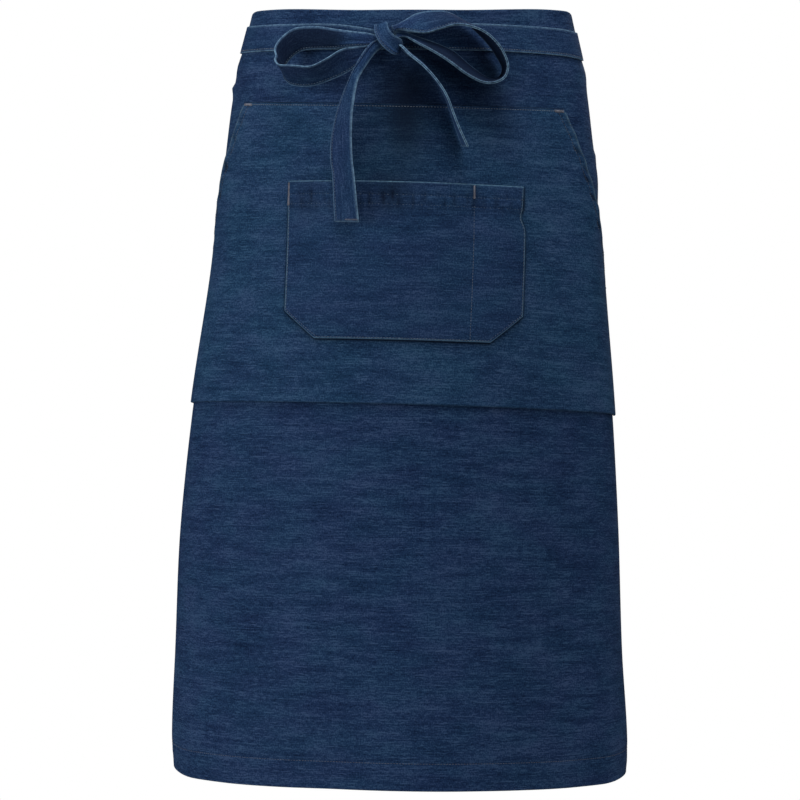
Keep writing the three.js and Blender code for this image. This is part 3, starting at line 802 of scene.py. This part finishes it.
def pocket_face(along, below):
    """The pocket's outer face: the pouch's face, a gap, two layers, the belly and the hem's puckers.

    The mouth stands open by half a sine either side of the divider, which fades to the bottom. The right
    end of the hem stands off by a bell curve."""
    down = below - POCKET_TOP
    main = part(along, POCKET_LEFT, POCKET_DIVIDER - POCKET_LEFT)
    pen = part(along, POCKET_DIVIDER, POCKET_RIGHT - POCKET_DIVIDER)
    belly = POCKET_BELLY * half_sine(main) + PEN_BELLY * half_sine(pen)
    belly = belly * (1 - part(down, 0, POCKET_TALL) ** 2)
    end = 1.6 * bell(along, POCKET_RIGHT, 9) * (1 - step(down, POCKET_HEM - 2, 4))
    return pouch_out(along, below) + GAP + 2 * CLOTH + belly + POCKET_PUCKER * hem_swing(along, down) + end


def pocket_sheet():
    """Stations across and down, drawn in evenly over the cut corners."""
    down = stations(POCKET_TALL, POCKET_PITCH, (*POCKET_HEM_ROWS, POCKET_TALL - POCKET_SEAM))[:, None]
    marks = (POCKET_SEAM, POCKET_DIVIDER - POCKET_LEFT, POCKET_WIDE - POCKET_SEAM)
    across = stations(POCKET_WIDE, POCKET_PITCH, marks)[None, :]
    cut = POCKET_CUT_WIDTH * part(down, POCKET_TALL - POCKET_CUT_HEIGHT, POCKET_CUT_HEIGHT)
    left, right = POCKET_LEFT + cut, pocket_right(down + POCKET_TOP) - cut
    along = left + across * (right - left) / POCKET_WIDE
    down = np.broadcast_to(down, along.shape)
    below = down + POCKET_TOP
    inset = np.minimum(across, POCKET_WIDE - across)
    edge = np.minimum(inset, np.minimum(down, POCKET_TALL - down))
    hem = 1 - step(down, POCKET_HEM, HEM_STEP)
    double = np.maximum(1 - step(inset, POCKET_EDGE, HEM_STEP), hem)
    double = np.maximum(double, step(down, POCKET_TALL - POCKET_EDGE - HEM_STEP, HEM_STEP))
    sink = seam_sink(np.minimum(inset, POCKET_TALL - down) - POCKET_SEAM)
    sink = sink + seam_sink(along - POCKET_DIVIDER)
    sink = sink + sum(seam_sink(down - row) for row in POCKET_HEM_ROWS)
    draw = rounding(edge, CLOTH)
    face = pocket_face(along, below)
    outer = on_pouch(along, below, face + POCKET_RIDGE * hem - draw - 0.8 * sink)
    inner = on_pouch(along, below, face - CLOTH * (1 + double) + draw)
    mouth = 1 - step(down, 1.5, 1.5)
    wear = mouth * 0.95 * np.clip(1 - edge / 1.6, 0, 1) ** 1.5 + (1 - mouth) * 0.6 * bell(edge, 1.1, 0.55)
    # Painted shade: a dark rim round the sides and bottom, beside the divider's tack in the hem, in the
    # hem's valleys and just below its edge, and the bow's shadows.
    rim = 0.9 * (1 - step(edge, 0.15, 0.45)) * (1 - mouth)
    shade_by_tack = 0.5 * bell(along, POCKET_DIVIDER, 4) * (1 - step(down, POCKET_HEM - 6, 8))
    valley_shade = 0.4 * np.clip(-hem_swing(along, down), 0, 1) + 0.15 * bell(down, POCKET_HEM + 0.8, 0.9)
    painted_shade = np.maximum(rim, np.maximum(valley_shade + bells(PAINTED_BOW_SHADOWS, along, below), shade_by_tack))
    flat = np.stack([along + 2100, -below - 700], axis=-1)
    return cloth_mesh("pocket", outer, inner, flat, wear, double, painted_shade)


POCKET_DYE = dict(SKIRT_DYE, dye_dark=(0.003, 0.0136, 0.0456), dye_mid=(0.0115, 0.0357, 0.096),
                  dye_pale=(0.036, 0.077, 0.162))
pocket_denim = denim("pocket_denim", streak=0.74, **POCKET_DYE)
pocket = piece(pocket_sheet(), pocket_denim, "patch_pocket")

# Stitch rows of the patch pocket
# Pale thread round its sides and bottom and down the divider, blue thread along the hem, and upright bar
# tacks at the top of the left edge and of the divider.
BLUE_THREAD = (0.095, 0.145, 0.21)
POCKET_TACKS = [(POCKET_LEFT + 1.2, 2, 21), (POCKET_DIVIDER, 1.5, 12)]  # along, below the mouth, length


def pocket_seam(along, below, out):
    """A point so far out of the pocket's face where stitches draw it in."""
    return on_pouch(along, below, pocket_face(along, below) - SEWN_IN + out)


left, right = POCKET_LEFT + POCKET_SEAM, POCKET_RIGHT - POCKET_SEAM
low, cut = POCKET_BOTTOM - POCKET_SEAM, POCKET_BOTTOM - POCKET_CUT_HEIGHT
up = np.linspace(cut - 4, POCKET_TOP + 2, 60)
corners = [left, left, left + POCKET_CUT_WIDTH, right - POCKET_CUT_WIDTH, right]
along = np.concatenate([corners, pocket_right(up) - POCKET_SEAM])
below = np.concatenate([[POCKET_TOP + 2, cut - 1, low, low, cut - 1], up])
down = np.linspace(POCKET_TOP + 14, low, 40)
across = np.linspace(POCKET_LEFT + 3, POCKET_RIGHT - 2, 120)
tacks = [tack(pocket_seam, (at, at), (POCKET_TOP + start, POCKET_TOP + start + run))
         for at, start, run in POCKET_TACKS]
blue_thread = thread("blue_thread", BLUE_THREAD)
sewn("pocket_stitches", [sew(pocket_seam, along, below),
                         sew(pocket_seam, np.full(40, POCKET_DIVIDER), down)], pale_thread)
sewn("pocket_hem_stitches", [sew(pocket_seam, across, POCKET_TOP + row)
                             for row in POCKET_HEM_ROWS], blue_thread)
sewn("pocket_tacks", tacks, tack_thread, TACK_HALF)

# Ties
# Two flat strips of denim, raw edges turned in and sewn together along one side. Each is sewn on a rear
# corner of the skirt, crosses the back and comes round the other side to the front.
TIE_WIDTH = 25
# Half a tie's thickness at its folded edge, where it is drawn flat, and along its sewn edge, where the raw
# edges are turned in; half that of each turned lip there, and the depth of the groove between the lips.
TIE_THICK = (0.7, 0.8, 0.35, 1.0)
TIE_SEAM = 2.2  # from the sewn edge to the row of stitches
# Fraction round the waist, middle of the tie below the top edge and its inner face's distance out; then
# half its width and how far its upper edge leans out, for the part before the knot.
TIE_PLAIN = (TIE_WIDTH / 2, 0)
TIE_RIGHT = [
    (-1.215, 50, 0.5),
    (-1.155, 49, 0.5),
    (-1.115, 48, 0.6),
    (-1.095, 45.5, 2.8),
    (-1.08, 43, 3.5),
    (-1.04, 37.5, 3.5),
    (-1, 31.5, 3.5),
    (-0.96, 25.5, 3.5),
    (-0.92, 20, 3.4),
    (-0.885, 16, 1.9),
    (-0.84, 14.5, 0.5),
    (-0.7, 18, 0.5),
    (-0.5, 28, 0.5),
    (-0.36, 27, 0.5),
    (-0.2, 25.5, 0.5),
    (-0.1, 25.5, 0.5),
    (-0.05, 27, 0.5, 11, 0),
    (0, 29, 0.5, 8.5, 0),
    (0.049, 29.5, 0.5, 6, 0),
]
TIE_LEFT = [
    (-1.215, 50, 0.5),
    (-1.155, 49, 0.5),
    (-1.115, 48, 0.5),
    (-1.08, 43, 0.5),
    (-1.04, 37.5, 0.5),
    (-1, 31.5, 0.5),
    (-0.96, 25.5, 0.5),
    (-0.92, 20, 0.5),
    (-0.885, 16, 0.5),
    (-0.84, 14.5, 0.5),
    (-0.7, 16.5, 0.5),
    (-0.5, 23, 0.5),
    (-0.28, 24.5, 0.5),
    (-0.22, 24.7, 0.5, 12.5, 0.4),
    (-0.165, 25.4, 0.5, 12, 3),
    (-0.115, 27, 0.5, 10.8, 4.5),
    (-0.08, 28.5, 0.5, 9.5, 4),
    (-0.051, 29.5, 0.5, 8, 2.5),
]
TIE_STEPS = 350
START_ROWS = (3, 13)  # rows of stitches that hold a tie on the skirt, from its start
END_ROUND = 1.2  # run over which a strip's end is rounded off


def place_round(around, below, out):
    """A place by the fraction round the waist: 0 is centre front and 1 or -1 is centre back. A tie is drawn
    flat there, so the skirt's bulges are left out."""
    fraction = np.where(np.abs(around) > 1, around - 2 * np.sign(around), around)
    along = fraction * level_at(below)["half_ring"]
    return place(along, below, out - bells(BULGES, along, below))


def tie_section(fold_half, sewn_half, lip_half, groove):
    """The closed outline of a tie cut across, from its folded edge over its face to its sewn edge and back.

    Columns: the edge that a point is measured from (0 folded, 1 sewn, or a share between), how far in from
    there, its height, its wear and its painted shade, which darkens the groove between the lips, their
    undersides and the row of stitches. The folded edge is half round; the sewn edge is two round lips with
    a groove between them."""
    fold = []
    for angle in np.radians([-80, -48, -16, 16, 48, 80]):
        inset = fold_half * (1 - np.cos(angle))
        fold.append((0, inset, fold_half * np.sin(angle), 0.4 + 0.6 * np.cos(angle), 0))
    face = [(0, 1.5, fold_half, 0.3, 0), (0, 2.6, fold_half, 0, 0)]
    for share in (0.26, 0.38, 0.5, 0.62, 0.74):
        face.append((share, 0, fold_half + share * (sewn_half - fold_half), 0, 0))
    face += [(1, 4.4, sewn_half, 0, 0), (1, 3.1, sewn_half, 0, 0), (1, TIE_SEAM, 0.74 * sewn_half, 0, 0.3)]
    face.append((1, 1.2, sewn_half, 0.1, 0))
    for angle in np.radians([75, 40, 0, -40, -75]):
        height = sewn_half - lip_half + lip_half * np.sin(angle)
        inset = lip_half * (1 - np.cos(angle))
        face.append((1, inset, height, 0.5 + 0.5 * np.cos(angle), 0.3 - 0.3 * np.sin(angle)))
    face.append((1, groove, 0.12, 0, 1))
    under = [(share, inset, -height, *marks) for share, inset, height, *marks in reversed(face)]
    return np.array(fold + face + under)


def strip_points(folded, sewn_edge, section, bulge=0.0):
    """Points of a strip of cloth between two edge lines, its run, and how far across it the points lie.

    A point lies a share of the way between the edges, moved in along the line that joins them and out along
    the normal, which is square to that line and to the way ahead. Where the edges come closer than the
    strip is wide, the cloth between them arches by the height that its slack gives; bulge scales that."""
    middle = (folded + sewn_edge) / 2
    ahead = unit(np.gradient(middle, axis=0))
    chord = np.linalg.norm(sewn_edge - folded, axis=1)[:, None] / MM
    over = unit(sewn_edge - folded)
    normal = unit(np.cross(over, ahead))
    arch = bulge * np.sqrt(3 * chord * np.clip(TIE_WIDTH - chord, 0, None) / 8)
    run = way_along(middle) / MM
    plump = np.sqrt(1 - (1 - np.clip(np.minimum(run, run[-1] - run) / END_ROUND, 0.02, 1)) ** 2)
    share, inset, height = section.T[:3]
    across = share * chord + np.where(share < 0.5, 1, -1) * inset * np.clip(chord / 16, 0, 1)
    between = np.clip(across / chord, 0, 1)
    lift = arch * 4 * between * (1 - between) + height * plump[:, None]
    points = folded[:, None] + MM * (across[..., None] * over[:, None] + lift[..., None] * normal[:, None])
    return points, run, across


def strip_mesh(name, edges, section, bulge, start, inside, rubbed):
    """A tie's section carried along two edge lines, closed at both ends and worn there.

    rubbed scales the wear; inside paints shade on the faces of a loop between the ends, the lower twice as
    much."""
    points, run, across = strip_points(*edges, section, bulge)
    wall, caps = tube(*points.shape[:2])
    flat = np.stack([np.broadcast_to(run[:, None], across.shape) + start, across], axis=-1) * MM
    end = np.exp(-((np.minimum(run, run[-1] - run) / END_ROUND) ** 2))
    within = step(run, 0.1 * run[-1], 0.1 * run[-1]) * (1 - step(run, 0.85 * run[-1], 0.1 * run[-1]))
    wear = rubbed * np.maximum(section[:, 3], 0.7 * end[:, None])
    dark = inside * within[:, None] * np.where(section[:, 2] < 0, 1, 0.5) * (section[:, 3] < 0.2)
    marks = [("wear", wear), ("painted_shade", np.maximum(section[:, 4], dark))]
    faces = [*wall.tolist(), *(cap.tolist() for cap in caps)]
    return make_mesh(name, points.reshape(-1, 3), faces, flat.reshape(-1, 2), marks)


def strip_seam(edges, sewn_half, bulge, face):
    """Stitches beside the sewn edge, laid every pitch along the strip."""
    line = np.array([(1, TIE_SEAM, face * 0.8 * sewn_half), (1, TIE_SEAM, face * (0.8 * sewn_half + 1))])
    low, high = np.moveaxis(strip_points(*edges, line, bulge)[0], 1, 0)
    run = way_along(low) / MM
    centre = np.arange(2, run[-1] - 2, STITCH_PITCH)

    def on_line(at, points):
        return np.stack([np.interp(at, run, points[:, axis]) for axis in range(3)], axis=-1)

    first, last = on_line(centre - STITCH_LENGTH / 2, low), on_line(centre + STITCH_LENGTH / 2, low)
    return first, last, unit(on_line(centre, high) - on_line(centre, low))


def on_strip(edges, share, height, bulge=0.0):
    """Points at shares of the way between a strip's edges, so high above its middle, at each section."""
    return strip_points(*edges, np.stack([share, 0 * share, 0 * share + height], axis=-1), bulge)[0]


def start_seam(edges, face):
    """Rows of stitches across a tie's start, each stitch a short share of the way between its edges."""
    centre = np.arange(3.5, TIE_WIDTH - 2, STITCH_PITCH) / TIE_WIDTH
    half = STITCH_LENGTH / 2 / TIE_WIDTH
    height = face * 0.9 * TIE_THICK[0]
    first, last = (on_strip(edges, centre + end * half, height) for end in (-1, 1))
    normal = unit(on_strip(edges, centre, height + face) - (first + last) / 2)
    rows = np.searchsorted(way_along(sum(edges) / 2) / MM, START_ROWS)
    return tuple(points[rows].reshape(-1, 3) for points in (first, last, normal))


def strip_piece(name, node, edges, thick, start, bulge=0.0, inside=0.0, rubbed=1.0):
    """A strip of tie as a piece, which is as long when flat as its middle.

    Returns the stitches beside its sewn edge, on both faces."""
    mesh = strip_mesh(name, edges, tie_section(*thick), bulge, start, inside, rubbed)
    made = piece(mesh, tie_denim, node)
    return [strip_seam(edges, thick[1], bulge, face) for face in (-1, 1)]


def tie_edges(rows, side):
    """The upper, folded edge and the lower, sewn edge of a tie on its way round."""
    rows = np.array([row if len(row) == 5 else (*row, *TIE_PLAIN) for row in rows])
    around = np.linspace(rows[0, 0], rows[-1, 0], TIE_STEPS)
    below, out, half, lean = (smooth(rows[:, 0], column, around) for column in rows.T[1:])
    upper = place_round(side * around, below - half, out + TIE_THICK[0] + lean)
    return upper, place_round(side * around, below + half, out + TIE_THICK[1])


TIE_DYE = dict(SKIRT_DYE, worn=(0.14, 0.25, 0.37))
tie_denim = denim("tie_denim", streak=0.75, **TIE_DYE)
tie_seams = []
for node, rows, side, start in (("tie_left", TIE_LEFT, 1, 0), ("tie_right", TIE_RIGHT, -1, 1400)):
    edges = tie_edges(rows, side)
    tie_seams += strip_piece(node + "_strip", node, edges, TIE_THICK, start)
    tie_seams += [start_seam(edges, face) for face in (-1, 1)]
sewn("tie_stitches", tie_seams, pale_thread, TACK_HALF)

# Bow
# The ends of both ties in a bow at centre front: two loops, two tails and the turn that holds them. Each
# strip follows its two edges: places along the panel, below its top edge and out from its face.
LOOP_LEFT = np.array([
    [-29, 25, 5.6, -28.5, 34.5, 5],
    [-41, 22, 6.2, -40, 35, 5],
    [-53.5, 20.5, 7, -54, 35.5, 5],
    [-70, 18, 8.5, -73.5, 37, 5],
    [-85, 15.5, 10.5, -90, 37, 5.5],
    [-100.5, 15.5, 13.5, -101.5, 38, 7],
    [-109.5, 18, 17, -109, 42, 9],
    [-116.5, 25.5, 21.5, -113.5, 48, 12],
    [-119.5, 32.5, 25, -116, 53.5, 14],
    [-119, 37.5, 27.5, -116.5, 57, 15.5],
    [-116, 43, 30, -116, 60.5, 16.5],
    [-116, 47.5, 31.5, -114.5, 63.5, 17],
    [-111.5, 52, 33, -111.5, 67, 18],
    [-102.5, 53, 34, -107, 70.5, 18.5],
    [-94.5, 53.5, 34, -98, 72.5, 18.5],
    [-87.5, 54.5, 33.5, -88.5, 72.5, 18],
    [-81, 53.5, 31.5, -80, 70.5, 16.5],
    [-71, 47, 27, -69, 66, 14],
    [-60.5, 38.5, 21, -57.5, 60.5, 12],
    [-51.5, 36, 15, -47, 53, 10.2],
    [-40, 34.5, 10.2, -37, 44, 8.8],
    [-28.5, 31, 7.9, -28, 38, 7.9],
])
LOOP_RIGHT = np.array([
    [-16, 23.5, 4.8, -19, 15.5, 4.8],
    [-11.5, 20, 8, -14, 14.5, 4.9],
    [-1, 21.5, 13.5, -7, 10.5, 5.5],
    [11.5, 23, 16.5, 2.5, 4.5, 7.5],
    [23.5, 19.5, 19, 15, 2, 8.5],
    [35.5, 15.5, 24, 31, 3, 8],
    [47.5, 17, 28, 46, 10.5, 6],
    [60, 22.5, 29, 59, 21, 5.6],
    [70.5, 32.5, 29.5, 70.5, 32.5, 5.6],
    [77, 43, 29.5, 79.5, 44.5, 5.6],
    [80, 53.5, 29.5, 84.5, 53.5, 5.6],
    [77.5, 63.5, 29, 82.5, 61, 5.6],
    [68.5, 69, 28.5, 74.5, 64, 5.6],
    [57.5, 68.5, 28, 65, 60.5, 6],
    [44, 61, 27.5, 51.5, 51, 6.5],
    [31, 50.5, 27, 38.5, 40, 6.8],
    [18.5, 41.5, 26, 23, 32.5, 7.2],
    [5.5, 33, 20, 8, 27, 7.4],
    [-5.5, 26.5, 10, -6, 22, 7.5],
    [-15, 28, 7.3, -15.5, 21.5, 7.3],
])
TAIL_LEFT = np.array([
    [-29, 28, 10.4, -25.5, 36, 10.4],
    [-35.5, 32, 11.6, -30.5, 40.5, 11.6],
    [-41, 39.5, 14.5, -35.5, 48, 14],
    [-46.5, 51.5, 18.5, -41, 60, 20.5],
    [-53, 67, 18, -44, 68, 24],
    [-60, 84, 16.5, -46.5, 85, 25.5],
    [-65.5, 100.5, 15, -48.5, 102, 25],
    [-69.5, 121.5, 14.5, -49, 123, 24.5],
    [-70, 140, 15, -48, 141.5, 25.5],
    [-67.5, 157, 16, -46, 158, 26.5],
    [-66.5, 178.5, 15.5, -44, 179, 26],
    [-65, 199.5, 16, -42, 200.5, 25],
])
TAIL_RIGHT = np.array([
    [-15.5, 31, 9.8, -17.5, 36, 9.4],
    [-9, 35, 13.5, -10, 37.5, 8.5],
    [-2, 43, 20.5, -2.5, 43.5, 7.6],
    [10.3, 55, 27, 10.5, 53.5, 5.5],
    [21.5, 69.5, 29, 22, 67, 5],
    [29, 83.5, 29.5, 30, 81, 6],
    [34, 98.5, 29.5, 35.5, 95.5, 6],
    [39, 112.5, 29.5, 40, 110, 6],
    [46.5, 130, 29, 47, 128, 6],
])
# The turn over the knot: its left edge and its right edge, from where it comes up to where it tucks in.
KNOT = np.array([
    [-30, 18.5, 4.2, -23, 16.5, 4.2],
    [-32.5, 15, 8.5, -23, 12.5, 8.5],
    [-33, 17.5, 12.5, -21.5, 13.5, 13],
    [-32, 23, 15.5, -20, 18.5, 16],
    [-29.5, 29, 16.8, -17, 23, 16.6],
    [-25.5, 35, 16.5, -13.5, 26.5, 15.6],
    [-20.5, 40, 14.8, -9.5, 28.5, 13],
    [-16, 43, 12.2, -8, 32, 10.5],
    [-12.5, 42.5, 8.2, -8, 36.5, 7.4],
    [-13.5, 39, 4.8, -10, 34.5, 4.8],
])
BOW_STEPS = 14  # sections between two rows of a strip
BOW_THICK = (0.78, 1.05, 0.42, 1.8)  # of a loose strip, as for the ties
BOW_HALF = 0.2  # half the thickness of its thread
# Strip: node, rows, whether its first edge is the sewn one, arch of its slack, start in the weave, and how
# much shade is painted within its loop.
BOW_STRIPS = [
    ("bow_loop_left", LOOP_LEFT, False, -0.2, 3000, 0.7),
    ("bow_loop_right", LOOP_RIGHT, True, 0.2, 3500, 0.8),
    ("bow_tail_left", TAIL_LEFT, True, 0.25, 4000, 0),
    ("bow_tail_right", TAIL_RIGHT, True, 0.2, 4500, 0),
]
END_TACK = np.arange(0.04, 0.55, 0.035)  # places of a tail's end stitches, from its folded edge inwards


def bow_edges(rows, first_sewn=True):
    """A strip's folded edge and sewn edge: smooth curves through its rows, laid on the worn form."""
    t = np.linspace(0, len(rows) - 1, BOW_STEPS * (len(rows) - 1) + 1)
    columns = [smooth(np.arange(len(rows)), column, t) for column in rows.T]
    first, second = place(*columns[:3]), place(*columns[3:])
    return (second, first) if first_sewn else (first, second)


def end_tack(edges):
    """A bar tack across the end of a strip: short stitches side by side, along its last sections."""
    low, high = (on_strip(edges, END_TACK, BOW_THICK[1] + up, 0.2) for up in (0, 1))
    return low[-3], low[-2], unit(high[-3] - low[-3])


bow_seams = []
for node, rows, first_sewn, bulge, start, inside in BOW_STRIPS:
    edges = bow_edges(rows, first_sewn)
    bow_seams += strip_piece(node + "_strip", node, edges, BOW_THICK, start,
                             bulge=bulge, inside=inside)
tacks = [end_tack(bow_edges(rows)) for rows in (TAIL_LEFT, TAIL_RIGHT)]
sewn("bow_end_tacks", tacks, tack_thread, TACK_HALF)
bow_seams += strip_piece("bow_knot_turn", "bow_knot", bow_edges(KNOT), BOW_THICK, 5000,
                         bulge=-0.1, rubbed=0.6)
sewn("bow_stitches", bow_seams, blue_thread, BOW_HALF)

# Studio
# A pale floor some way below the hem, and a white room. Soft light comes most from the left, less from the
# right and from above, and some from behind.
FLOOR_DROP = 1080 * MM
FLOOR_REACH = 1.6
FLOOR_SIDES = 64
FLOOR_PAINT = (0.55, 0.55, 0.545, 1)
# Softboxes: turn from the front to the right, rise and distance as seen from the apron, width and height of
# the box, and power.
LAMPS = {
    "left": (-67, 8, 3.2, 1.8, 2.0, 61),
    "right_low": (48, 7, 3.2, 3.2, 3.2, 19),
    "right_high": (46, 54, 2.6, 2.4, 2.4, 31),
    "overhead": (-4, 76, 2.5, 1.2, 1.2, 36),
    "behind": (165, 30, 3.5, 1.6, 1.6, 36),
}
LIT_FROM = Vector((0, -0.13, -0.25))
ROOM_LIGHT = 0.03
WHITE = (1, 1, 1, 1)

turn = np.linspace(0, 2 * np.pi, FLOOR_SIDES, endpoint=False)
ring = np.stack([FLOOR_REACH * np.cos(turn), FLOOR_REACH * np.sin(turn), 0 * turn - FLOOR_DROP], axis=-1)
floor_mesh = bpy.data.meshes.new("floor")
floor_mesh.from_pydata(ring.tolist(), [], [list(range(FLOOR_SIDES))])
floor_paint, tree = new_material("floor")
add_surface(tree, {"Base Color": FLOOR_PAINT, "Roughness": 0.7})
floor_mesh.materials.append(floor_paint)
put("floor", floor_mesh)

for name, (turn, rise, distance, width, height, power) in LAMPS.items():
    turn, rise = np.radians((turn, rise))
    toward = Vector((np.sin(turn) * np.cos(rise), -np.cos(turn) * np.cos(rise), np.sin(rise)))
    light = bpy.data.lights.new(name, "AREA")
    light.shape = "RECTANGLE"
    light.size = width
    light.size_y = height
    light.energy = power
    lamp = put(name, light)
    lamp.visible_camera = False
    lamp.location = LIT_FROM + distance * toward
    lamp.rotation_euler = toward.to_track_quat("Z", "Y").to_euler()

room = bpy.data.worlds.new("white_room")
bpy.context.scene.world = room
room.use_nodes = True
tree = room.node_tree
tree.nodes.clear()
lit = add_node(tree, "Background", {"Color": WHITE, "Strength": ROOM_LIGHT})
seen = add_node(tree, "Background", {"Color": WHITE, "Strength": 1.0})
to_camera = add_node(tree, "LightPath").outputs["Is Camera Ray"]
choose = add_node(tree, "MixShader", {0: to_camera, 1: lit.outputs[0], 2: seen.outputs[0]})
add_node(tree, "OutputWorld", {"Surface": choose.outputs[0]})
bpy.context.scene.view_settings.view_transform = "Standard"
